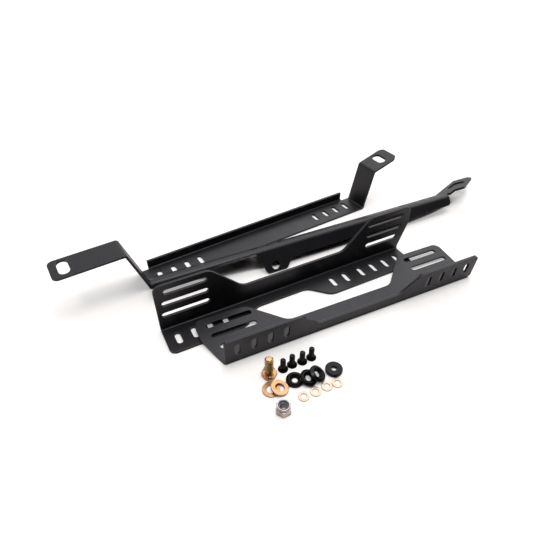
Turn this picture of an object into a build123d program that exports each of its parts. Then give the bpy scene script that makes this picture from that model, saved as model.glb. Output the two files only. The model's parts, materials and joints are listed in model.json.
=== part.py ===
"""Seat mount kit: two floor rails, two side mounts and the fasteners that go with them.

Millimetres, +Z up. The origin is on the floor, under the foot of the middle side mount,
at the middle of its fold. X runs along that fold and Y points away from the fasteners.
"""

import os
from math import asin, atan, cos, degrees, radians, sin, tan

from build123d import *

os.makedirs("parts", exist_ok=True)

# Sheet steel shared by the four brackets
sheet = 4.0
fold_inside = 2.5
fold_outside = fold_inside + sheet
slot_pitch = 25.0
cross_slot_long = 23.0
cross_slot_wide = 9.0
rest_gap = 0.2

# Side mounts: a slotted plate folded up from a narrow foot
side_long = 436.0
plate_high = 87.0
plate_waist = 36.0
plate_overhang = 18.0
shoulder_high = 52.0
short_lobe = 85.0
long_lobe = 65.0
plate_corner = 12.0
waist_round = 22.0
row_heights = (31.0, 52.0, 73.0)
plate_slot_wide = 9.0
short_side_slots = (74.5, 72.0, 66.5)
long_side_slots = (66.0, 72.0, 74.0)
short_slot_in = 80.5
long_slot_in = 70.0
side_slot_in = 18.8
foot_slot_line = 29.7

# Middle side mount
foot_wide = 54.0
foot_waist = 24.0
foot_corner = 10.0
foot_round = 22.0
left_lobe_end = -99.0
left_taper = 28.0
right_lobe_start = 51.0
right_taper = 30.0
extra_slot_first = 68.5
foot_set_back = 10.0

# Front side mount, lying with its plate on the foot of the middle one
wall_high = 50.0
wall_waist = 21.0
wall_slot_line = 27.9
wall_left_corner = 3.0
wall_right_corner = 8.0
front_left_end = -101.0
front_left_taper = 27.0
front_right_start = 108.0
front_right_taper = 37.0
front_x = 60.5
front_y = -91.2
front_yaw = -2.3
front_lean_run = 45.0

# Far floor rail: a strap with a leg and a tab at each end, and one edge turned up
rail_wide = 54.0
rail_long = 454.0
rail_flange_high = 18.5
flange_start = 15.0
flange_end = 21.0
left_rise = 82.0
left_lean = 28.0
left_tab_long = 106.0
left_tab_corner = 10.0
right_rise = 80.0
right_lean = 19.0
right_tab_long = 55.0
right_tab_slope = 16.0
right_tab_corner = 12.0
right_leg_set_in = 2.5
rail_slot_line = 29.7
rail_left_slot = 27.0
rail_right_slot = 28.5
left_slot_long = 36.0
tab_slot_wide = 16.5
left_tab_slot_in = 20.0
right_tab_slot_in = 26.0
right_slot_long = 30.0
far_x = -209.8
far_y = 158.8
far_yaw = 4.73

# Middle floor rail: an angle with a belt tab on its flange, tipped over its front edge
angle_wide = 50.0
angle_left = 5.2
angle_long = 602.5
angle_fold_inside = 5.0
angle_lip = 8.0
angle_corner = 7.0
angle_left_corner = 12.0
belt_tab_left = 184.0
belt_tab_deep = 44.8
belt_tab_slant = 11.0
belt_tab_bottom = 38.0
belt_tab_corner = 4.0
belt_flare = 12.0
belt_flare_round = 10.0
belt_hole_x = 212.7
belt_hole_deep = 34.3
belt_hole_wide = 15.5
flange_deep = 30.0
flange_shallow = 22.5
angle_slot_line = 31.0
angle_left_slot = 190.6
angle_right_slot_in = 14.4
arm_slots = (35.0, 94.0)
arm_slot_line = 42.0
arm_slot_long = 16.0
arm_slot_wide = 7.0
kick_out_from_end = 2.0
kick_relief = 3.0
kick_skew = 8.0
kick_angle = 20.0
end_tab_height = 5.0
end_tab_tilt = 15.8
end_tab_tip = 103.5
end_tab_near = 42.0
end_tab_far_in = 10.0
end_tab_corner = 8.0
end_tip_corner = 4.0
end_slot_x = 49.0
end_slot_y = 28.5
end_slot_long = 45.0
end_slot_wide = 12.0
middle_x = -211.6
middle_y = 83.6
middle_yaw = -1.411
middle_pitch = -0.452
middle_roll = -35.3

# Belt bolt, standing on its head
bolt_across_flats = 19.0
bolt_head_high = 6.5
bolt_collar_wide = 17.4
bolt_collar_high = 0.8
bolt_shank = 10.5
bolt_high = 34.0
bolt_chamfer = 1.4
bolt_spot = (-110.5, -132.9)
bolt_turn = 39.0

# Bolt washers, one flat and one leaning on it
big_washer_wide = 24.0
big_washer_hole = 13.0
big_washer_thick = 2.5
big_washer_spots = ((-119.2, -155.6), (-109.3, -160.3))

# Lock nut with its insert ring
nut_across_flats = 19.0
nut_hex_high = 8.5
nut_high = 13.0
nut_collar_wide = 17.6
nut_bore = 10.3
nut_recess = 14.6
insert_high = 3.0
insert_bore = 11.0
insert_fit = 0.05
nut_spot = (-119.5, -190.5)
nut_turn = 2.5

# Countersunk screws, standing on their heads
screw_long = 20.0
screw_shank = 7.4
screw_head_wide = 14.3
screw_head_high = 4.4
screw_rim = 0.6
screw_socket = 5.0
screw_socket_deep = 2.6
screw_tip = 0.9
screw_spots = ((-89.4, -133.0), (-74.7, -132.1), (-59.5, -133.8), (-44.6, -133.4))

# Cup washers for the screws
cup_wide = 24.0
cup_face_wide = 17.5
cup_thick = 5.4
cup_rim = 3.4
cup_hole = 8.4
cup_sink_wide = 15.2
cup_edge = 0.8
cup_spots = ((-84.4, -157.2), (-68.5, -164.5), (-56.0, -165.5), (-29.0, -167.0))
cup_turns = (0.0, -57.3, -34.4, 0.0)
cup_tilts = (0.0, 17.5, 30.3, 0.0)
cup_backs_up = (False, False, False, True)

# Small spacer washers
small_washer_wide = 15.0
small_washer_hole = 8.2
small_washer_thick = 1.3
small_washer_spots = ((-86.4, -184.2), (-68.8, -185.0), (-51.3, -184.7), (-36.0, -186.6))


def save(block, name):
    """Label a finished piece and write it."""
    block.part.label = name
    export_step(block.part, f"parts/{name}.step")


def posed(x, y, z, yaw, pitch, roll):
    """Floor plane of a bracket: turned about Z, nosed up by pitch, then rolled about its length."""
    return Plane(Location((x, y, z), (yaw, -pitch, roll), Intrinsic.ZYX))


def across(frame):
    """Section plane of a bracket: its Y to the right, its Z up, seen along its X."""
    return Plane(frame.origin, x_dir=frame.y_dir, z_dir=frame.x_dir)


def upright(frame):
    """Side plane of a bracket: its X to the right, its Z up."""
    return Plane(frame.origin, x_dir=frame.x_dir, z_dir=-frame.y_dir)


def leaning(flat_spot, spot, thick, wide):
    """Plane under a disc that leans on the top of an equal one lying at flat_spot."""
    run = Vector(*spot) - Vector(*flat_spot)
    tilt = atan((thick + rest_gap) / (run.length - wide / 2 * (1 - cos(atan(thick / run.length)))))
    away = run.normalized()
    centre = (spot[0], spot[1], wide / 2 * sin(tilt))
    slope = Vector(away.X * cos(tilt), away.Y * cos(tilt), -sin(tilt))
    return Plane(centre, x_dir=slope, z_dir=(away.X * sin(tilt), away.Y * sin(tilt), cos(tilt)))


def side_plate(hand):
    """Face of the slotted plate, drawn from the middle of its fold; hand 1 overhangs on the right."""
    half = side_long / 2
    drop = plate_high - plate_waist
    corners = [
        (-half, 0),
        (-half, plate_high),
        (short_lobe - half, plate_high),
        (short_lobe - half + drop, plate_waist),
        (half - long_lobe - drop, plate_waist),
        (half - long_lobe, plate_high),
        (half + plate_overhang, plate_high),
        (half + plate_overhang, shoulder_high),
        (half, 0),
    ]
    rounds = [0, plate_corner] + [waist_round] * 4 + [plate_corner, plate_corner, 0]
    with BuildSketch() as plate:
        with BuildLine():
            FilletPolyline(*[(hand * x, z) for x, z in corners], radius=rounds, close=True)
        make_face()
        for height, short_slot, long_slot in zip(row_heights, short_side_slots, long_side_slots):
            with Locations((-hand * (half - short_slot_in + short_slot / 2), height)):
                SlotOverall(short_slot, plate_slot_wide, mode=Mode.SUBTRACT)
            with Locations((hand * (half - long_slot_in + long_slot / 2), height)):
                SlotOverall(long_slot, plate_slot_wide, mode=Mode.SUBTRACT)
    return plate.sketch


def cross_slots(first, count, line):
    """Row of slots that run across a bracket, from x = first on."""
    with BuildSketch() as row:
        with Locations(*[(first + slot_pitch * i, line) for i in range(count)]):
            SlotOverall(cross_slot_long, cross_slot_wide, rotation=90)
    return row.sketch


# Each row of cross slots starts or ends the same way in from the ends of a side mount
slots_left = side_slot_in - side_long / 2
slots_right = side_long / 2 - side_slot_in - 3 * slot_pitch

# Middle side mount: the plate stands on the far side of the foot
middle_frame = Plane(origin=(0, foot_set_back, 0))

with BuildPart() as middle_side_mount:
    with BuildSketch(across(middle_frame).offset(-side_long)):
        with BuildLine():
            FilletPolyline((sheet - foot_wide, 0), (sheet, 0), (sheet, plate_high), radius=fold_outside)
            offset(amount=sheet, side=Side.LEFT)
        make_face()
    extrude(amount=2 * side_long)
    with BuildSketch(upright(middle_frame)):
        add(side_plate(1))
    extrude(amount=2 * foot_wide, both=True, mode=Mode.INTERSECT)
    with BuildSketch(middle_frame):
        with BuildLine():
            FilletPolyline(
                (-side_long / 2, sheet),
                (side_long / 2 + plate_overhang, sheet),
                (side_long / 2 + plate_overhang, -fold_inside),
                (side_long / 2, -fold_inside),
                (side_long / 2, sheet - foot_wide),
                (right_lobe_start, sheet - foot_wide),
                (right_lobe_start - right_taper, sheet - foot_waist),
                (left_lobe_end + left_taper, sheet - foot_waist),
                (left_lobe_end, sheet - foot_wide),
                (-side_long / 2, sheet - foot_wide),
                radius=[0, 0, 0, 0, foot_corner] + [foot_round] * 4 + [foot_corner],
                close=True,
            )
        make_face()
        for first, count in (
            (slots_left, 4),
            (extra_slot_first, 2),
            (slots_right, 4),
        ):
            add(cross_slots(first, count, sheet - foot_slot_line), mode=Mode.SUBTRACT)
    extrude(amount=2 * plate_high, both=True, mode=Mode.INTERSECT)
save(middle_side_mount, "middle_side_mount")

# Front side mount: the foot stands in front and the plate lies back on the middle mount's foot
front_tilt = degrees(asin((sheet + rest_gap) / front_lean_run))
front_drop = fold_outside * (1 - sin(radians(front_tilt)) - cos(radians(front_tilt)))
front_centre = Vector(side_long / 2, 0, 0).rotate(Axis.Z, front_yaw)
front_frame = posed(
    front_x - side_long / 2 + front_centre.X,
    front_y + front_centre.Y,
    front_drop,
    front_yaw,
    0,
    front_tilt,
)

with BuildPart() as front_side_mount:
    with BuildSketch(across(front_frame).offset(-side_long)):
        with BuildLine():
            FilletPolyline((0, wall_high), (0, 0), (plate_high, 0), radius=fold_outside)
            offset(amount=sheet, side=Side.LEFT)
        make_face()
    extrude(amount=2 * side_long)
    with BuildSketch(front_frame):
        add(side_plate(-1))
    extrude(amount=2 * wall_high, both=True, mode=Mode.INTERSECT)
    with BuildSketch(upright(front_frame)):
        with BuildLine():
            FilletPolyline(
                (-side_long / 2 - plate_overhang, 0),
                (side_long / 2, 0),
                (side_long / 2, wall_high),
                (front_right_start, wall_high),
                (front_right_start - front_right_taper, wall_waist),
                (front_left_end + front_left_taper, wall_waist),
                (front_left_end, wall_high),
                (-side_long / 2, wall_high),
                (-side_long / 2, fold_outside),
                (-side_long / 2 - plate_overhang, fold_outside),
                radius=[0, 0, wall_right_corner] + [foot_round] * 4 + [wall_left_corner, 0, 0],
                close=True,
            )
        make_face()
        for first in (slots_left, slots_right):
            add(cross_slots(first, 4, wall_slot_line), mode=Mode.SUBTRACT)
    extrude(amount=2 * plate_high, both=True, mode=Mode.INTERSECT)
save(front_side_mount, "front_side_mount")

# Far floor rail: the strap's section runs along the rail, the turned-up edge is on its far side
far_frame = posed(far_x, far_y, 0, far_yaw, 0, 0)
strap_near = sheet - rail_wide
strap_far = -fold_inside
right_tab_rise = tan(radians(right_tab_slope)) * right_tab_long
left_lean_low = left_lean * (left_rise - sheet) / left_rise
right_lean_low = right_lean * (right_rise - sheet) / right_rise

with BuildPart() as far_floor_rail:
    with BuildSketch(upright(far_frame).offset(-strap_far)):
        with BuildLine():
            FilletPolyline(
                (-left_lean_low - left_tab_long, left_rise - sheet),
                (-left_lean_low, left_rise - sheet),
                (0, 0),
                (rail_long, 0),
                (rail_long + right_lean_low, right_rise - sheet),
                (rail_long + right_lean_low + right_tab_long, right_rise - sheet + right_tab_rise),
                radius=[fold_inside, fold_outside, fold_outside, fold_inside],
            )
            offset(amount=sheet, side=Side.LEFT)
        make_face()
    extrude(amount=strap_far - strap_near)
    with BuildSketch(across(far_frame).offset(flange_start)):
        with BuildLine():
            FilletPolyline(
                (strap_near + rail_slot_line, 0),
                (sheet, 0),
                (sheet, rail_flange_high),
                radius=fold_outside,
            )
            offset(amount=sheet, side=Side.LEFT)
        make_face()
    extrude(amount=rail_long - flange_start - flange_end)
    with BuildSketch(far_frame) as rail_plan:
        with BuildLine():
            left_tip = -left_lean_low - left_tab_long
            right_tip = rail_long + right_lean_low + right_tab_long
            FilletPolyline(
                (left_tip, strap_near),
                (right_tip, strap_near),
                (right_tip, strap_far - right_leg_set_in),
                (rail_long - flange_end, strap_far - right_leg_set_in),
                (rail_long - flange_end, sheet),
                (flange_start, sheet),
                (flange_start, strap_far),
                (left_tip, strap_far),
                radius=[left_tab_corner, right_tab_corner, right_tab_corner, 0, 0, 0, 0, left_tab_corner],
                close=True,
            )
        make_face()
        for first in (rail_left_slot, rail_long - rail_right_slot - 3 * slot_pitch):
            add(cross_slots(first, 4, sheet - rail_slot_line), mode=Mode.SUBTRACT)
        with Locations((left_tip + left_tab_slot_in, sheet - rail_slot_line)):
            SlotOverall(left_slot_long, tab_slot_wide, rotation=90, mode=Mode.SUBTRACT)
        with Locations((right_tip - right_tab_slot_in, sheet - rail_slot_line)):
            SlotOverall(right_slot_long, tab_slot_wide, rotation=90, mode=Mode.SUBTRACT)
    extrude(amount=2 * left_rise, both=True, mode=Mode.INTERSECT)
save(far_floor_rail, "far_floor_rail")

# Middle floor rail: top face at z = 0 of its frame, flange face at y = 0
angle_fold_outside = angle_fold_inside + sheet
belt_drop = belt_tab_deep * cos(radians(middle_roll)) - sheet * sin(radians(middle_roll))
nose_drop = tan(radians(middle_pitch)) * (belt_tab_left + belt_tab_slant + belt_tab_bottom)
middle_height = rest_gap + belt_drop - nose_drop
angle_frame = posed(middle_x, middle_y, middle_height, middle_yaw, middle_pitch, middle_roll)

kick_near = angle_long + kick_out_from_end
fold_run = Vector(kick_skew, angle_wide, 0).normalized()
kick_out = fold_run.cross(Vector(0, 0, 1))
kick_up = kick_out * cos(radians(kick_angle)) + Vector(0, 0, 1) * sin(radians(kick_angle))
kick_normal = kick_up.cross(fold_run)
tab_normal = Vector(0, -sin(radians(end_tab_tilt)), cos(radians(end_tab_tilt)))
tab_fold_run = kick_normal.cross(tab_normal).normalized()
kick_start = Vector(kick_near, 0, 0)
tab_start = kick_start + kick_up * (
    (end_tab_height * tab_normal.Z - kick_start.dot(tab_normal)) / kick_up.dot(tab_normal)
)


def to_rail(local):
    """Plane given in the middle rail's own frame, set where the rail lies."""
    return Plane(angle_frame.location * local.location)


kick_plane = to_rail(Plane(kick_start, x_dir=kick_up, z_dir=kick_normal))
tab_plane = to_rail(Plane((0, 0, end_tab_height), x_dir=(1, 0, 0), z_dir=tab_normal))
low_mitre = to_rail(Plane(kick_start, z_dir=fold_run.cross(kick_normal + Vector(0, 0, 1))))
high_mitre = to_rail(Plane(tab_start, z_dir=tab_fold_run.cross(kick_normal + tab_normal)))

with BuildPart() as kick:
    with BuildSketch(kick_plane):
        Rectangle(3 * angle_wide, 3 * angle_wide)
    extrude(amount=-sheet)
    split(bisect_by=low_mitre, keep=Keep.TOP)
    split(bisect_by=high_mitre, keep=Keep.BOTTOM)

with BuildPart() as end_tab:
    with BuildSketch(tab_plane):
        with Locations((angle_long + end_tab_near, 0)):
            Rectangle(4 * angle_wide, 4 * angle_wide)
    extrude(amount=-sheet)
    split(bisect_by=high_mitre, keep=Keep.TOP)

with BuildPart() as middle_floor_rail:
    with BuildSketch(across(angle_frame)):
        with BuildLine():
            FilletPolyline(
                (0, -belt_tab_deep - rest_gap),
                (0, 0),
                (angle_wide, 0),
                radius=angle_fold_outside,
            )
            offset(amount=sheet, side=Side.RIGHT)
        make_face()
    extrude(amount=kick_near + angle_wide)
    split(bisect_by=low_mitre, keep=Keep.BOTTOM)
    with BuildSketch(upright(angle_frame)):
        tab_right = belt_tab_left + belt_tab_slant + belt_tab_bottom
        with BuildLine():
            FilletPolyline(
                (angle_left, 0),
                (kick_near + angle_wide, 0),
                (kick_near + angle_wide, -flange_shallow / 2),
                (angle_long, -flange_shallow / 2),
                (angle_long, -flange_shallow),
                (tab_right + belt_flare, -flange_deep),
                (tab_right, -belt_tab_deep),
                (belt_tab_left + belt_tab_slant, -belt_tab_deep),
                (belt_tab_left, -angle_lip),
                (angle_left, -angle_lip),
                radius=[0, 0, 0, 0, angle_corner, belt_flare_round, belt_tab_corner, belt_tab_corner, 0, 0],
                close=True,
            )
        make_face()
        with Locations((belt_hole_x, -belt_hole_deep)):
            Circle(belt_hole_wide / 2, mode=Mode.SUBTRACT)
    extrude(amount=2 * angle_wide, both=True, mode=Mode.INTERSECT)
    add(kick.part)
    add(end_tab.part)
    with BuildSketch(angle_frame):
        with BuildLine():
            FilletPolyline(
                (angle_left, 0),
                (angle_long, 0),
                (angle_long, angle_fold_outside),
                (kick_near + kick_relief, angle_fold_outside),
                (kick_near + kick_relief, 0),
                (angle_long + end_tab_near, 0),
                (angle_long + end_tab_tip, angle_wide - end_tab_far_in),
                (angle_long + end_tab_tip, angle_wide),
                (angle_left, angle_wide),
                radius=[0, 0, 0, 0, 0, end_tab_corner, end_tip_corner, end_tip_corner, angle_left_corner],
                close=True,
            )
        make_face()
        for first in (angle_left_slot, angle_long - angle_right_slot_in - 3 * slot_pitch):
            add(cross_slots(first, 4, angle_slot_line), mode=Mode.SUBTRACT)
        with Locations(*[(x, arm_slot_line) for x in arm_slots]):
            SlotOverall(arm_slot_long, arm_slot_wide, mode=Mode.SUBTRACT)
        with Locations((angle_long + end_slot_x, end_slot_y)):
            SlotOverall(end_slot_long, end_slot_wide, mode=Mode.SUBTRACT)
    extrude(amount=2 * belt_tab_deep, both=True, mode=Mode.INTERSECT)
save(middle_floor_rail, "middle_floor_rail")

# Belt bolt: chamfered hexagon head down, collar and shank on top
with BuildPart() as belt_bolt:
    with BuildSketch(Plane(origin=(*bolt_spot, 0))):
        RegularPolygon(bolt_across_flats / 2, 6, major_radius=False, rotation=bolt_turn)
    extrude(amount=bolt_head_high)
    head_corner = bolt_across_flats / 2 / cos(radians(30))
    head_cut = head_corner - bolt_across_flats / 2
    with BuildSketch(Plane(origin=(*bolt_spot, 0), x_dir=(1, 0, 0), z_dir=(0, -1, 0))):
        with BuildLine():
            Polyline(
                (0, 0),
                (bolt_across_flats / 2, 0),
                (head_corner, head_cut * tan(radians(30))),
                (head_corner, bolt_head_high),
                (0, bolt_head_high),
                close=True,
            )
        make_face()
    revolve(axis=Axis((*bolt_spot, 0), (0, 0, 1)), mode=Mode.INTERSECT)
    with BuildSketch(Plane(origin=(*bolt_spot, bolt_head_high))):
        Circle(bolt_collar_wide / 2)
    extrude(amount=bolt_collar_high)
    with BuildSketch(Plane(origin=(*bolt_spot, bolt_head_high))):
        Circle(bolt_shank / 2)
    extrude(amount=bolt_high - bolt_head_high)
    chamfer(faces().sort_by(Axis.Z)[-1].edges(), length=bolt_chamfer)
save(belt_bolt, "belt_bolt")


def ring(place, wide, hole, thick):
    """Flat washer."""
    with BuildPart() as washer:
        with BuildSketch(place):
            Circle(wide / 2)
            Circle(hole / 2, mode=Mode.SUBTRACT)
        extrude(amount=thick)
    return washer


# Bolt washers
flat_spot, lean_spot = big_washer_spots
flat_washer = ring(Plane(origin=(*flat_spot, 0)), big_washer_wide, big_washer_hole, big_washer_thick)
save(flat_washer, "bolt_washer_1")
lean_place = leaning(flat_spot, lean_spot, big_washer_thick, big_washer_wide)
lean_washer = ring(lean_place, big_washer_wide, big_washer_hole, big_washer_thick)
save(lean_washer, "bolt_washer_2")

# Lock nut: hexagon with both ends chamfered, round collar above, insert ring held inside the collar
with BuildPart() as lock_nut:
    with BuildSketch(Plane(origin=(*nut_spot, 0))):
        RegularPolygon(nut_across_flats / 2, 6, major_radius=False, rotation=nut_turn)
    extrude(amount=nut_hex_high)
    nut_corner = nut_across_flats / 2 / cos(radians(30))
    nut_cut = (nut_corner - nut_across_flats / 2) * tan(radians(30))
    collar_base = nut_hex_high - nut_cut
    with BuildSketch(Plane(origin=(*nut_spot, 0), x_dir=(1, 0, 0), z_dir=(0, -1, 0))):
        with BuildLine():
            Polyline(
                (0, 0),
                (nut_across_flats / 2, 0),
                (nut_corner, nut_cut),
                (nut_corner, collar_base),
                (nut_across_flats / 2, nut_hex_high),
                (0, nut_hex_high),
                close=True,
            )
        make_face()
    revolve(axis=Axis((*nut_spot, 0), (0, 0, 1)), mode=Mode.INTERSECT)
    with BuildSketch(Plane(origin=(*nut_spot, collar_base))):
        Circle(nut_collar_wide / 2)
    extrude(amount=nut_high - collar_base)
    chamfer(faces().sort_by(Axis.Z)[-1].edges(), length=(nut_collar_wide - nut_recess) / 6)
    with BuildSketch(Plane(origin=(*nut_spot, 0))):
        Circle(nut_bore / 2)
    extrude(amount=nut_high, mode=Mode.SUBTRACT)
    with BuildSketch(Plane(origin=(*nut_spot, nut_high - insert_high))):
        Circle(nut_recess / 2)
    extrude(amount=insert_high, mode=Mode.SUBTRACT)
save(lock_nut, "lock_nut")

with BuildPart() as lock_nut_insert:
    with BuildSketch(Plane(origin=(*nut_spot, nut_high - insert_high))):
        Circle(nut_recess / 2 - insert_fit)
        Circle(insert_bore / 2, mode=Mode.SUBTRACT)
    extrude(amount=insert_high - rest_gap)
save(lock_nut_insert, "lock_nut_insert")

# Countersunk screws, heads down
for number, spot in enumerate(screw_spots, start=1):
    with BuildPart() as screw:
        with BuildSketch(Plane(origin=(*spot, 0), x_dir=(1, 0, 0), z_dir=(0, -1, 0))):
            with BuildLine():
                Polyline(
                    (0, 0),
                    (screw_head_wide / 2, 0),
                    (screw_head_wide / 2, screw_rim),
                    (screw_shank / 2, screw_head_high),
                    (screw_shank / 2, screw_long - screw_tip),
                    (screw_shank / 2 - screw_tip, screw_long),
                    (0, screw_long),
                    close=True,
                )
            make_face()
        revolve(axis=Axis((*spot, 0), (0, 0, 1)))
        with BuildSketch(Plane(origin=(*spot, 0))):
            RegularPolygon(screw_socket / 2, 6, major_radius=False)
        extrude(amount=screw_socket_deep, mode=Mode.SUBTRACT)
    save(screw, f"countersunk_screw_{number}")


def cup_back(spot, turn, tilt, back_up):
    """Plane of a cup washer's back, facing its sink, with the lowest rim on the floor."""
    down_turn = radians(turn)
    lean = radians(tilt)
    slope = Vector(cos(down_turn) * cos(lean), sin(down_turn) * cos(lean), -sin(lean))
    normal = Vector(cos(down_turn) * sin(lean), sin(down_turn) * sin(lean), cos(lean))
    height = cup_wide / 2 * sin(lean)
    if back_up:
        rim_drop = cup_rim * cos(lean) + cup_wide / 2 * sin(lean)
        face_drop = cup_thick * cos(lean) + cup_face_wide / 2 * sin(lean)
        height = max(rim_drop, face_drop)
        normal = -normal
    return Plane((*spot, height), x_dir=slope, z_dir=normal)


# Cup washers: the first and last lie flat, the last one back up, and two lean on a neighbour
for number, cup_pose in enumerate(zip(cup_spots, cup_turns, cup_tilts, cup_backs_up), start=1):
    back_plane = cup_back(*cup_pose)
    with BuildPart() as cup:
        with BuildSketch(Plane(back_plane.origin, x_dir=back_plane.x_dir, z_dir=-back_plane.y_dir)):
            with BuildLine():
                Polyline(
                    (cup_hole / 2, 0),
                    (cup_wide / 2 - cup_edge, 0),
                    (cup_wide / 2, cup_edge),
                    (cup_wide / 2, cup_rim),
                    (cup_face_wide / 2, cup_thick),
                    (cup_sink_wide / 2, cup_thick),
                    (cup_hole / 2, cup_thick - (cup_sink_wide - cup_hole) / 2),
                    close=True,
                )
            make_face()
        revolve(axis=Axis(back_plane.origin, back_plane.z_dir))
    save(cup, f"cup_washer_{number}")

# Small spacer washers
for number, spot in enumerate(small_washer_spots, start=1):
    spacer = ring(Plane(origin=(*spot, 0)), small_washer_wide, small_washer_hole, small_washer_thick)
    save(spacer, f"spacer_washer_{number}")
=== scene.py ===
# %% [markdown]
# Seat mount kit on a white table top.
# The brackets and fasteners come as finished solids, all in one frame: metres, Z up, with the origin
# on the floor under the middle side mount. This script gives them their finishes, winds the fine
# threads that the solids leave plain, and sets up the floor, the light and the camera.

import json
from math import pi, radians

import bmesh
import bpy
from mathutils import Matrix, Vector


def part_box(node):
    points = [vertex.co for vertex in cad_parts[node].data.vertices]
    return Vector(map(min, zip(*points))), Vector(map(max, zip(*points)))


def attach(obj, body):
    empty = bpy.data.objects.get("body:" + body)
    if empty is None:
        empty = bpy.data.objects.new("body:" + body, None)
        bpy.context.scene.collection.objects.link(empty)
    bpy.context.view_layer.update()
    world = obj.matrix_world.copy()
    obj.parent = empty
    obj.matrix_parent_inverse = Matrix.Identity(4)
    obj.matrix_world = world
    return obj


MM = 0.001

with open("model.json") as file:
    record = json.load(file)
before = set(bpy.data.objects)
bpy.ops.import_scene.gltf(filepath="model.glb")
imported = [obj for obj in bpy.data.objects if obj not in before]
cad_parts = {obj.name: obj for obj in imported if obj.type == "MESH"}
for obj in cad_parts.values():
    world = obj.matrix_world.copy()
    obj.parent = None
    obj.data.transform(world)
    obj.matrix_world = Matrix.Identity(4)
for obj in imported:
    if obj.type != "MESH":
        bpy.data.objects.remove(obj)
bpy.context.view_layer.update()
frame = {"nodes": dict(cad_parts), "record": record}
nodes = frame["nodes"]
print("pieces", len(nodes))

# %% [markdown]
# The camera comes first, because every later choice is judged through it. A fairly wide lens at
# this short distance makes the near bracket look larger than the far one. The last turn, under one
# degree, tips the horizon as it is tipped in the picture.

# %% Camera
EYE = Vector((-0.28148, -0.47913, 0.51295))
LOOKED_AT = Vector((-0.01015, 0.07066, 0.0))
LENS = 31.014
SENSOR = 36.0
NEAR_CLIP = 0.01
TIP = radians(-0.883)

camera_data = bpy.data.cameras.new("camera")
camera_data.lens = LENS
camera_data.sensor_width = SENSOR
camera_data.clip_start = NEAR_CLIP
camera = bpy.data.objects.new("camera", camera_data)
camera.location = EYE
camera.rotation_euler = (LOOKED_AT - EYE).to_track_quat("-Z", "Y").to_euler()
camera.rotation_euler.rotate_axis("Z", TIP)
bpy.context.scene.collection.objects.link(camera)
bpy.context.scene.camera = camera
print("camera", round((LOOKED_AT - EYE).length, 3), "m from the point it looks at")

# %% [markdown]
# Materials are node trees, and most of a tree is the same few moves: add a node, set some of its
# sockets, join two of them. A few short helpers keep the recipes below readable.

# %% Helpers for node trees
def set_inputs(made, values):
    """A value named peel_scale sets the input Peel Scale, and so on."""
    for key, value in values.items():
        made.inputs[key.replace("_", " ").title()].default_value = value


def put(tree, kind, **values):
    made = tree.nodes.new(kind)
    set_inputs(made, values)
    return made


def put_group(tree, group, **values):
    made = tree.nodes.new("ShaderNodeGroup")
    made.node_tree = group
    set_inputs(made, values)
    return made


def join(tree, source, target):
    tree.links.new(source, target)


def remap(tree, source, low, high, new_low, new_high):
    """Turn one range of values into another, and hold the ends."""
    made = tree.nodes.new("ShaderNodeMapRange")
    made.inputs["From Min"].default_value = low
    made.inputs["From Max"].default_value = high
    made.inputs["To Min"].default_value = new_low
    made.inputs["To Max"].default_value = new_high
    join(tree, source, made.inputs["Value"])
    return made.outputs["Result"]


# %% [markdown]
# Colours and sums need two more. A Mix node has a hidden set of sockets for each kind of value, all
# with the same names, so the helper picks the colour sockets by their type. The maths helper takes
# another node's output or a plain number in each place.

# %% Helpers for colours and sums
def blend_colours(tree, factor, first, second):
    mix = tree.nodes.new("ShaderNodeMix")
    mix.data_type = "RGBA"
    join(tree, factor, mix.inputs["Factor"])
    for name, end in (("A", first), ("B", second)):
        socket = next(s for s in mix.inputs if s.name == name and s.type == "RGBA")
        if isinstance(end, tuple):
            socket.default_value = (*end, 1.0)
        else:
            join(tree, end, socket)
    return next(s for s in mix.outputs if s.type == "RGBA")


def work_out(tree, operation, *terms):
    made = tree.nodes.new("ShaderNodeMath")
    made.operation = operation
    for socket, term in zip(made.inputs, terms):
        if isinstance(term, float):
            socket.default_value = term
        else:
            join(tree, term, socket)
    return made.outputs["Value"]


def against_vector(tree, operation, source, fixed):
    """A vector node between another node's output and a fixed vector."""
    made = tree.nodes.new("ShaderNodeVectorMath")
    made.operation = operation
    join(tree, source, made.inputs[0])
    made.inputs[1].default_value = fixed
    return made


# %% [markdown]
# All the metal here has edges that were broken, tumbled or coated, so each one catches a thin line of
# light. The solids have sharp corners. Rounding every slot in the mesh would cost many thousands of
# faces, so the rounding is done in the shader: a Bevel node bends the normal near an edge, and the
# difference from the true normal also tells where an edge is. One node group does both, and each
# material chooses how wide its edges are. The materials use that edge mask to paint a line along the
# edges: a painted highlight on most pieces, a painted shade on the spacers.

# %% Node group: soft edges
EDGE_RAYS = 6
EDGE_BEGINS = 0.99
EDGE_FULL = 0.80


def soft_edge_group():
    group = bpy.data.node_groups.new("soft edges", "ShaderNodeTree")
    group.interface.new_socket("Width", in_out="INPUT", socket_type="NodeSocketFloat")
    group.interface.new_socket("Edge", in_out="OUTPUT", socket_type="NodeSocketFloat")
    group.interface.new_socket("Normal", in_out="OUTPUT", socket_type="NodeSocketVector")
    start = group.nodes.new("NodeGroupInput")
    end = group.nodes.new("NodeGroupOutput")
    bevel = group.nodes.new("ShaderNodeBevel")
    bevel.samples = EDGE_RAYS
    join(group, start.outputs["Width"], bevel.inputs["Radius"])
    true_normal = group.nodes.new("ShaderNodeNewGeometry")
    likeness = group.nodes.new("ShaderNodeVectorMath")
    likeness.operation = "DOT_PRODUCT"
    join(group, bevel.outputs["Normal"], likeness.inputs[0])
    join(group, true_normal.outputs["True Normal"], likeness.inputs[1])
    edge = remap(group, likeness.outputs["Value"], EDGE_BEGINS, EDGE_FULL, 0.0, 1.0)
    join(group, edge, end.inputs["Edge"])
    join(group, bevel.outputs["Normal"], end.inputs["Normal"])
    return group


SOFT_EDGES = soft_edge_group()
print("group", SOFT_EDGES.name)

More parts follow.
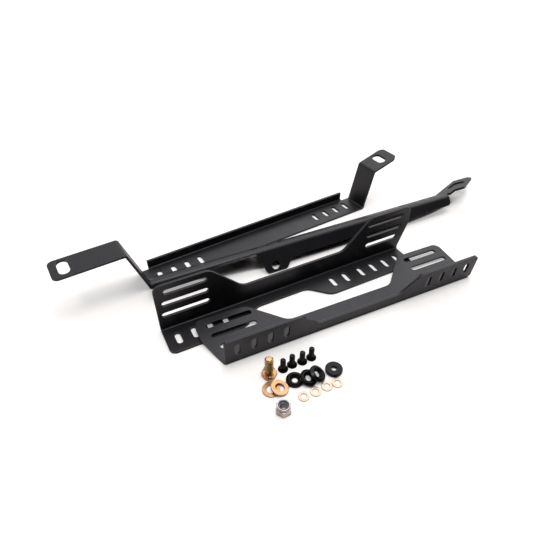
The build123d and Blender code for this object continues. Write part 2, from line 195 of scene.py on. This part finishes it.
# %% [markdown]
# Powder coat is sprayed dry and melted on. It lies in tiny waves like the skin of an orange, its
# colour and gloss wander slightly over a large sheet, and dust settles on it. All three are noise
# textures at three scales, and plating and plastic use them too. They read Object coordinates, so
# the grain is the same size on a long rail and on a short tab, and it doesn't stretch.

# %% Node group: sprayed surface
DUST_SCALE = 1000.0
DUST_BEGINS = 0.62
DUST_FULL = 0.78


def sprayed_group():
    group = bpy.data.node_groups.new("sprayed surface", "ShaderNodeTree")
    for name in ("Peel Scale", "Drift Scale"):
        group.interface.new_socket(name, in_out="INPUT", socket_type="NodeSocketFloat")
    for name in ("Peel", "Drift", "Speck"):
        group.interface.new_socket(name, in_out="OUTPUT", socket_type="NodeSocketFloat")
    start = group.nodes.new("NodeGroupInput")
    end = group.nodes.new("NodeGroupOutput")
    place = group.nodes.new("ShaderNodeTexCoord")
    peel = put(group, "ShaderNodeTexNoise", detail=2.0, roughness=0.45)
    drift = put(group, "ShaderNodeTexNoise", detail=3.0, roughness=0.6)
    speck = put(group, "ShaderNodeTexNoise", scale=DUST_SCALE, detail=1.0, roughness=0.5)
    for noise in (peel, drift, speck):
        join(group, place.outputs["Object"], noise.inputs["Vector"])
    join(group, start.outputs["Peel Scale"], peel.inputs["Scale"])
    join(group, start.outputs["Drift Scale"], drift.inputs["Scale"])
    join(group, peel.outputs["Fac"], end.inputs["Peel"])
    join(group, drift.outputs["Fac"], end.inputs["Drift"])
    dust = remap(group, speck.outputs["Fac"], DUST_BEGINS, DUST_FULL, 0.0, 1.0)
    join(group, dust, end.inputs["Speck"])
    return group


SPRAYED = sprayed_group()
print("group", SPRAYED.name)

# %% [markdown]
# A material starts from a name, how metallic it is, its gloss and the tint of its gloss, and takes
# its colour, roughness and bump from the groups. Metals keep Metallic at 1. Paint, plastic and the
# dark film on the screws keep it at 0. Noise seldom leaves the middle of its range, so the
# roughness is spread over that middle only.

# %% Helpers: a bare material, its roughness and its bump
NOISE_LOW = 0.3
NOISE_HIGH = 0.7


def bare_material(name, metallic=0.0, specular=0.5, tint=(1.0, 1.0, 1.0)):
    material = bpy.data.materials.new(name)
    material.use_nodes = True
    tree = material.node_tree
    shader = tree.nodes["Principled BSDF"]
    shader.inputs["Metallic"].default_value = metallic
    shader.inputs["Specular IOR Level"].default_value = specular
    shader.inputs["Specular Tint"].default_value = (*tint, 1.0)
    return material, tree, shader


def roughen(tree, noise, smooth, rough, shader):
    spread = remap(tree, noise, NOISE_LOW, NOISE_HIGH, smooth, rough)
    join(tree, spread, shader.inputs["Roughness"])


def bump(tree, height, normal, strength, depth, shader):
    """Bump on top of the soft-edge normal."""
    made = put(tree, "ShaderNodeBump", strength=strength, distance=depth)
    join(tree, height, made.inputs["Height"])
    join(tree, normal, made.inputs["Normal"])
    join(tree, made.outputs["Normal"], shader.inputs["Normal"])


# %% [markdown]
# The four brackets are black powder coat of about half gloss. Black isn't zero: the coat gives back
# less than a hundredth of the light as colour, a touch bluer where it drifts, and its sheen leans to
# violet. Grey specks of dust lie on it. Along the edges a lighter grey is painted in, a painted
# highlight for the thin line of light that the edges catch.

# %% Material: powder coat
COAT_DARK = (0.003, 0.003, 0.0038)
COAT_LIGHT = (0.006, 0.0058, 0.0072)
# The next colour is a painted highlight, laid along every edge in place of the light the edges catch.
COAT_EDGE_HIGHLIGHT = (0.20, 0.197, 0.205)
COAT_DUST = (0.05, 0.048, 0.052)
COAT_SHEEN = (0.94, 0.91, 1.0)
COAT_SMOOTH = 0.36
COAT_ROUGH = 0.46


def powder_coat():
    material, tree, shader = bare_material("powder coat", tint=COAT_SHEEN)
    skin = put_group(tree, SPRAYED, peel_scale=1100.0, drift_scale=11.0)
    edge = put_group(tree, SOFT_EDGES, width=0.7 * MM)
    colour = blend_colours(tree, skin.outputs["Drift"], COAT_DARK, COAT_LIGHT)
    # Painted highlight: a lighter grey along the edges.
    colour = blend_colours(tree, edge.outputs["Edge"], colour, COAT_EDGE_HIGHLIGHT)
    colour = blend_colours(tree, skin.outputs["Speck"], colour, COAT_DUST)
    join(tree, colour, shader.inputs["Base Color"])
    roughen(tree, skin.outputs["Drift"], COAT_SMOOTH, COAT_ROUGH, shader)
    bump(tree, skin.outputs["Peel"], edge.outputs["Normal"], 0.25, 0.12 * MM, shader)
    return material


# %% [markdown]
# The bolt, the nut, their washers and the spacers are zinc plated. A passivated plate carries a film
# so thin that its colour shifts with its thickness, between straw, amber, rose and pale green on the
# bolt. It follows how the bath drained off, so a soft noise through a colour ramp comes close. The
# washers and spacers have one dull pair of tints each, and the nut has plain silver zinc. Along the
# edges of each a painted rim stands in for light and shade: a lighter painted highlight on the bolt,
# the nut and the washers, and a brown painted shade on the spacers.

# %% Material: zinc plate
STRAW = (0.84, 0.46, 0.13)
ROSE = (0.78, 0.28, 0.36)
LEAF = (0.30, 0.46, 0.14)
# The next colour is the bolt's rim, a painted highlight along its edges.
BOLT_RIM_HIGHLIGHT = (0.90, 0.74, 0.52)
AMBER = (0.34, 0.12, 0.03)
SILVER_DARK = (0.50, 0.43, 0.37)
SILVER_LIGHT = (0.70, 0.61, 0.54)
# The next colour is the nut's rim, a painted highlight along its edges.
SILVER_RIM_HIGHLIGHT = (0.80, 0.71, 0.63)
WASHER_TAN = (0.58, 0.36, 0.16)
WASHER_ROSE = (0.46, 0.25, 0.15)
SPACER_TAN = (0.56, 0.43, 0.31)
SPACER_ROSE = (0.58, 0.47, 0.38)
# The next two are painted rims: a brown painted shade along the spacers' edges, then a pale painted
# highlight along the washers' edges.
SPACER_RIM_SHADE = (0.34, 0.20, 0.11)
WASHER_RIM_HIGHLIGHT = (0.90, 0.68, 0.56)
RAMP_START = 0.38
RAMP_SPAN = 0.24
ZINC_SPREAD = 0.12


def zinc(name, tints, rim_highlight_and_shade, roughness, hue_scale):
    material, tree, shader = bare_material(name, metallic=1.0)
    skin = put_group(tree, SPRAYED, peel_scale=2400.0, drift_scale=hue_scale)
    edge = put_group(tree, SOFT_EDGES, width=0.4 * MM)
    ramp = tree.nodes.new("ShaderNodeValToRGB")
    stops = ramp.color_ramp.elements
    while len(stops) < len(tints):
        stops.new(0.5)
    for number, (stop, tint) in enumerate(zip(stops, tints)):
        stop.position = RAMP_START + RAMP_SPAN * number / (len(tints) - 1)
        stop.color = (*tint, 1.0)
    join(tree, skin.outputs["Drift"], ramp.inputs["Fac"])
    # Painted rim along the edges: a highlight on the bolt, nut and washers, a shade on the spacers.
    colour = blend_colours(tree, edge.outputs["Edge"], ramp.outputs["Color"], rim_highlight_and_shade)
    join(tree, colour, shader.inputs["Base Color"])
    roughen(tree, skin.outputs["Peel"], roughness, roughness + ZINC_SPREAD, shader)
    bump(tree, skin.outputs["Peel"], edge.outputs["Normal"], 0.2, 0.04 * MM, shader)
    return material


# %% [markdown]
# Screws and cup washers are blackened steel. The blackening is thinner than paint, so it keeps an
# oily sheen and shows the turning marks below it. Along its edges a lighter colour is painted in as a
# highlight. The screws' oxide is slightly warm, and the cup washers' black is slightly cool.

# %% Material: blackened steel
OXIDE_DARK = (0.0015, 0.0012, 0.001)
OXIDE_LIGHT = (0.004, 0.0032, 0.003)
CUP_DARK = (0.002, 0.002, 0.0022)
CUP_LIGHT = (0.005, 0.005, 0.0055)
BLACK_GLOSS = 0.2
BLACK_SMOOTH = 0.2
BLACK_SPREAD = 0.15
# The next factor makes the painted highlight: the edges get this many times the light tone.
EDGE_HIGHLIGHT_GAIN = 6.0


def blackened(name, dark, light):
    material, tree, shader = bare_material(name, specular=BLACK_GLOSS)
    skin = put_group(tree, SPRAYED, peel_scale=1800.0, drift_scale=60.0)
    edge = put_group(tree, SOFT_EDGES, width=0.5 * MM)
    colour = blend_colours(tree, skin.outputs["Drift"], dark, light)
    # Painted highlight: a lighter colour along the edges.
    painted_highlight = tuple(EDGE_HIGHLIGHT_GAIN * part for part in light)
    colour = blend_colours(tree, edge.outputs["Edge"], colour, painted_highlight)
    join(tree, colour, shader.inputs["Base Color"])
    roughen(tree, skin.outputs["Peel"], BLACK_SMOOTH, BLACK_SMOOTH + BLACK_SPREAD, shader)
    bump(tree, skin.outputs["Peel"], edge.outputs["Normal"], 0.3, 0.06 * MM, shader)
    return material


# %% [markdown]
# The ring inside the lock nut is blue plastic. It is soft, so it has a dull sheen and faint marks.

# %% Material: nut insert
INSERT_BLUE = (0.035, 0.07, 0.17)
INSERT_PALE = (0.06, 0.10, 0.22)
INSERT_SMOOTH = 0.4
INSERT_ROUGH = 0.55


def insert_plastic():
    material, tree, shader = bare_material("nut insert")
    skin = put_group(tree, SPRAYED, peel_scale=1500.0, drift_scale=200.0)
    edge = put_group(tree, SOFT_EDGES, width=0.4 * MM)
    colour = blend_colours(tree, skin.outputs["Drift"], INSERT_BLUE, INSERT_PALE)
    join(tree, colour, shader.inputs["Base Color"])
    roughen(tree, skin.outputs["Peel"], INSERT_SMOOTH, INSERT_ROUGH, shader)
    bump(tree, skin.outputs["Peel"], edge.outputs["Normal"], 0.2, 0.05 * MM, shader)
    return material


# %% [markdown]
# Each solid's record names the finish it was given. Two kinds of washer share the bolt's finish
# there but look duller than the bolt on the table, so they get a zinc of their own here. The kind of
# a piece is its name without the number at its end.

# %% Give every solid its finish
BOLT_TINTS = (LEAF, STRAW, AMBER, ROSE, STRAW, LEAF)
WASHER_TINTS = (WASHER_ROSE, WASHER_TAN, WASHER_ROSE)
FINISHES = {
    "powder_coat": powder_coat(),
    "yellow_zinc": zinc("yellow zinc", BOLT_TINTS, BOLT_RIM_HIGHLIGHT, 0.20, 230.0),
    "silver_zinc": zinc("silver zinc", (SILVER_DARK, SILVER_LIGHT), SILVER_RIM_HIGHLIGHT, 0.20, 120.0),
    "insert_plastic": insert_plastic(),
    "black_oxide": blackened("black oxide", OXIDE_DARK, OXIDE_LIGHT),
    "black_anodised": blackened("black anodised", CUP_DARK, CUP_LIGHT),
}
WASHER_FINISH = {
    "bolt_washer": zinc("straw zinc", WASHER_TINTS, WASHER_RIM_HIGHLIGHT, 0.26, 190.0),
    "spacer_washer": zinc("pale zinc", (SPACER_TAN, SPACER_ROSE), SPACER_RIM_SHADE, 0.28, 60.0),
}
for part in frame["record"]["subparts"]:
    mesh = nodes[part["node"]].data
    mesh.materials.clear()
    kind = part["node"].rstrip("_0123456789")
    mesh.materials.append(WASHER_FINISH.get(kind, FINISHES[part["material_slot"]]))
print("finishes", sorted(FINISHES), sorted(WASHER_FINISH))

# %% [markdown]
# The solids stop at plain shanks. A thread is one ridge wound round the shank, and bmesh can wind it:
# a triangle is drawn once beside the axis, then spun with a rise at each step, which makes a helix.
# The two open ends are filled, so the ridge is a closed body that sits half inside the shank.

# %% Helper: wind a thread
STEPS_PER_TURN = 20
CREST_AT = 0.44
RIDGE_FOOT = 0.88


def wound_ridge(name, foot, low, high, root, crest, pitch, slot):
    """Ridge from height low to high round the upright axis through foot."""
    turns = (high - low) / pitch
    shape = bmesh.new()
    corners = [
        shape.verts.new((foot.x + root, foot.y, low)),
        shape.verts.new((foot.x + crest, foot.y, low + CREST_AT * pitch)),
        shape.verts.new((foot.x + root, foot.y, low + RIDGE_FOOT * pitch)),
    ]
    start = shape.faces.new(corners)
    steps = round(turns * STEPS_PER_TURN)
    bmesh.ops.spin(
        shape,
        geom=[start, *start.edges, *start.verts],
        cent=(foot.x, foot.y, 0.0),
        axis=(0.0, 0.0, 1.0),
        dvec=(0.0, 0.0, (high - low) / steps),
        angle=turns * 2 * pi,
        steps=steps,
        use_merge=False,
    )
    bmesh.ops.holes_fill(shape, edges=[edge for edge in shape.edges if edge.is_boundary])
    bmesh.ops.recalc_face_normals(shape, faces=shape.faces)
    mesh = bpy.data.meshes.new(name)
    shape.to_mesh(mesh)
    shape.free()
    mesh.materials.append(FINISHES[slot])
    ridge = bpy.data.objects.new(name, mesh)
    bpy.context.scene.collection.objects.link(ridge)
    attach(ridge, "root")
    print(name, "turns", round(turns, 1), "faces", len(mesh.polygons))


def middle_of(node):
    """The middle of a piece's box, and its lowest and highest levels."""
    low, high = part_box(node)
    return (low + high) / 2, low.z, high.z


# %% [markdown]
# The belt bolt has a fine thread from above its collar to its chamfered end, and the nut has the same
# pitch inside, pointing inwards, up to its blue ring. Each ridge starts a set distance above the
# piece's lowest level and stops a set distance below its highest.

# %% Threads of the bolt and the nut
FINE_PITCH = 1.27 * MM
BOLT_START, BOLT_STOP = 9.5 * MM, 1.6 * MM
BOLT_ROOT, BOLT_CREST = 5.1 * MM, 5.95 * MM
NUT_START, NUT_STOP = 0.5 * MM, 4.6 * MM
NUT_ROOT, NUT_CREST = 5.3 * MM, 4.75 * MM

foot, low, high = middle_of("belt_bolt")
wound_ridge(
    "bolt_thread", foot, low + BOLT_START, high - BOLT_STOP,
    BOLT_ROOT, BOLT_CREST, FINE_PITCH, "yellow_zinc",
)
foot, low, high = middle_of("lock_nut")
wound_ridge(
    "nut_thread", foot, low + NUT_START, high - NUT_STOP,
    NUT_ROOT, NUT_CREST, FINE_PITCH, "silver_zinc",
)

# %% [markdown]
# The four countersunk screws stand on their heads. Their thread is shallow and runs from just above
# the cone to just below the tip.

# %% Threads of the screws
SCREW_PITCH = 1.25 * MM
SCREW_START, SCREW_STOP = 5.2 * MM, 2.0 * MM
SCREW_ROOT, SCREW_CREST = 3.55 * MM, 3.95 * MM

for number in range(1, 5):
    foot, low, high = middle_of(f"countersunk_screw_{number}")
    wound_ridge(
        f"screw_thread_{number}", foot, low + SCREW_START, high - SCREW_STOP,
        SCREW_ROOT, SCREW_CREST, SCREW_PITCH, "black_oxide",
    )

# %% [markdown]
# It is a single face, because nothing on it needs more.

# %% Floor sheet
FLOOR_HALF = 4.0
FLOOR_DROP = 0.1 * MM

sheet = bmesh.new()
bmesh.ops.create_grid(sheet, x_segments=1, y_segments=1, size=FLOOR_HALF)
bmesh.ops.translate(sheet, verts=sheet.verts, vec=(0.0, 0.0, -FLOOR_DROP))
floor_mesh = bpy.data.meshes.new("floor")
sheet.to_mesh(floor_mesh)
sheet.free()
floor = bpy.data.objects.new("floor", floor_mesh)
bpy.context.scene.collection.objects.link(floor)
print("floor", 2 * FLOOR_HALF, "m square")

# %% [markdown]
# The floor must read as white paper and still hold the close dark shadows that seat each bracket.
# Its own colour is pale.

# %% Helper: the floor's glow
GLOW_NEAR = 0.37
GLOW_FAR = 0.55
GLOW_GROWS_FROM = 0.45
GLOW_GROWS_TO = 1.4
GLOW_MIRRORED = 0.1


def seen_strength(tree, strength):
    """The full glow for the camera, a tenth for mirrored rays, nothing for other rays."""
    rays = tree.nodes.new("ShaderNodeLightPath")
    mirrored = work_out(
        tree, "MAXIMUM", rays.outputs["Is Glossy Ray"], rays.outputs["Is Transmission Ray"]
    )
    seen = work_out(tree, "MULTIPLY_ADD", mirrored, GLOW_MIRRORED, rays.outputs["Is Camera Ray"])
    return work_out(tree, "MULTIPLY", seen, strength)


# %% [markdown]
# An Ambient Occlusion node tells how open the air above a spot is. Where metal is near, it turns the
# glow down and the paper's colour deep brown, which makes contact shadows. Close to most pieces it
# looks only five millimetres far, so that slots and washer holes stay bright. Under the rolled
# middle rail it looks seven centimetres far, because the air there is trapped in a long low tent. To
# know that place, the floor's X is squeezed until the long rail is a round patch, and the distance
# from its middle says which reach to use.

# %% Material: floor paper
PAPER_PALE = (0.81, 0.775, 0.75)
PAPER_DEEP = (0.018, 0.013, 0.011)
PAPER_ROUGHNESS = 0.9
PAPER_SHEEN = 0.1
OPENNESS_RAYS = 16
REACH_UNDER_RAIL = 70 * MM
REACH_ELSEWHERE = 5 * MM
RAIL_SQUEEZE = (0.17, 1.0, 0.0)
RAIL_MIDDLE = (0.0306, 0.115, 0.0)
RAIL_PATCH = 50 * MM
RAIL_PATCH_END = 60 * MM
GLOW_SHUT, GLOW_OPEN = 0.33, 0.62
PAPER_SHUT, PAPER_OPEN = 0.25, 0.58

floor_material, floor_tree, floor_shader = bare_material("floor paper", specular=PAPER_SHEEN)
floor_shader.inputs["Roughness"].default_value = PAPER_ROUGHNESS
glow = put(floor_tree, "ShaderNodeEmission", color=(1.0, 1.0, 1.0, 1.0))
place = floor_tree.nodes.new("ShaderNodeTexCoord").outputs["Object"]
squeezed = against_vector(floor_tree, "MULTIPLY", place, RAIL_SQUEEZE).outputs["Vector"]
from_rail = against_vector(floor_tree, "DISTANCE", squeezed, RAIL_MIDDLE).outputs["Value"]
reach = remap(
    floor_tree, from_rail, RAIL_PATCH, RAIL_PATCH_END, REACH_UNDER_RAIL, REACH_ELSEWHERE
)
openness = floor_tree.nodes.new("ShaderNodeAmbientOcclusion")
openness.samples = OPENNESS_RAYS
join(floor_tree, reach, openness.inputs["Distance"])
print("floor paper looks", REACH_UNDER_RAIL, "m under the rail,", REACH_ELSEWHERE, "m elsewhere")

# %% [markdown]
# The openness now steers both the paper's colour and the strength of its glow, and an Add Shader
# node lays the glow over the paper.

# %% Join the floor's colour and glow
from_middle = against_vector(floor_tree, "DISTANCE", place, (0.0, 0.0, 0.0)).outputs["Value"]
level = remap(
    floor_tree, from_middle, GLOW_GROWS_FROM, GLOW_GROWS_TO, GLOW_NEAR, GLOW_FAR
)
open_share = remap(floor_tree, openness.outputs["AO"], GLOW_SHUT, GLOW_OPEN, 0.0, 1.0)
strength = seen_strength(floor_tree, work_out(floor_tree, "MULTIPLY", level, open_share))
join(floor_tree, strength, glow.inputs["Strength"])
pale_share = remap(floor_tree, openness.outputs["AO"], PAPER_SHUT, PAPER_OPEN, 0.0, 1.0)
paper = blend_colours(floor_tree, pale_share, PAPER_DEEP, PAPER_PALE)
join(floor_tree, paper, floor_shader.inputs["Base Color"])
both = floor_tree.nodes.new("ShaderNodeAddShader")
join(floor_tree, floor_shader.outputs["BSDF"], both.inputs[0])
join(floor_tree, glow.outputs["Emission"], both.inputs[1])
join(floor_tree, both.outputs["Shader"], floor_tree.nodes["Material Output"].inputs["Surface"])
floor_mesh.materials.append(floor_material)
print("floor paper nodes", len(floor_tree.nodes))

# %% [markdown]
# The lamp is one soft box overhead, a little to the viewer's side, so shadows stay under the
# brackets and spill only a finger's width around them.

# %% Lamp
BOX_TOWARDS = Vector((0.03, -0.10, 1.0))
BOX_AWAY = 3.0
BOX_SIDE = 1.15
BOX_POWER = 36.0

soft_box = bpy.data.lights.new("soft box", "AREA")
soft_box.shape = "SQUARE"
soft_box.size = BOX_SIDE
soft_box.energy = BOX_POWER
lamp = bpy.data.objects.new("soft box", soft_box)
lamp.location = LOOKED_AT + BOX_AWAY * BOX_TOWARDS.normalized()
lamp.rotation_euler = (-BOX_TOWARDS).to_track_quat("-Z", "Y").to_euler()
bpy.context.scene.collection.objects.link(lamp)
print("lamp", round(lamp.location.z, 2), "m high")

# %% [markdown]
# Black gloss shows little but what it mirrors, so the world is drawn for the mirrored rays. It is a
# dim room with two bright places. A smaller and brighter one, higher and to the right, shows in the
# right-hand ends of the brackets. Upright plates mirror the dim front and stay black. The camera
# itself sees white wherever it looks past the floor.

# %% World
ROOM_FRONT = 0.06
ROOM_BACK = 0.73
ROOM_BACK_TOWARDS = Vector((-0.25, 0.80, 0.55))
ROOM_FADES, ROOM_FULL = 0.30, 0.95
WINDOW = 1.9
WINDOW_TOWARDS = Vector((0.64, 0.30, 0.70))
WINDOW_FADES, WINDOW_FULL = 0.72, 0.96

sky = bpy.data.worlds.new("sky")
sky.use_nodes = True
sky_tree = sky.node_tree
background = sky_tree.nodes["Background"]
background.inputs["Color"].default_value = (1.0, 1.0, 1.0, 1.0)
ray = sky_tree.nodes.new("ShaderNodeTexCoord").outputs["Generated"]


def patch_of_sky(direction, fades, full, dim, bright):
    """Bright where a ray points in the direction, dim where it points far from it."""
    likeness = against_vector(sky_tree, "DOT_PRODUCT", ray, direction.normalized())
    return remap(sky_tree, likeness.outputs["Value"], fades, full, dim, bright)


room = patch_of_sky(ROOM_BACK_TOWARDS, ROOM_FADES, ROOM_FULL, ROOM_FRONT, ROOM_BACK)
window = patch_of_sky(WINDOW_TOWARDS, WINDOW_FADES, WINDOW_FULL, 0.0, WINDOW)
lit = work_out(sky_tree, "ADD", room, window)
camera_rays = sky_tree.nodes.new("ShaderNodeLightPath").outputs["Is Camera Ray"]
join(sky_tree, work_out(sky_tree, "MAXIMUM", lit, camera_rays), background.inputs["Strength"])
bpy.context.scene.world = sky
print("world nodes", len(sky_tree.nodes))

# %% [markdown]
# The Standard view shows colours as they are written, so white paper is white.

# %% Colour view
bpy.context.scene.view_settings.view_transform = "Standard"
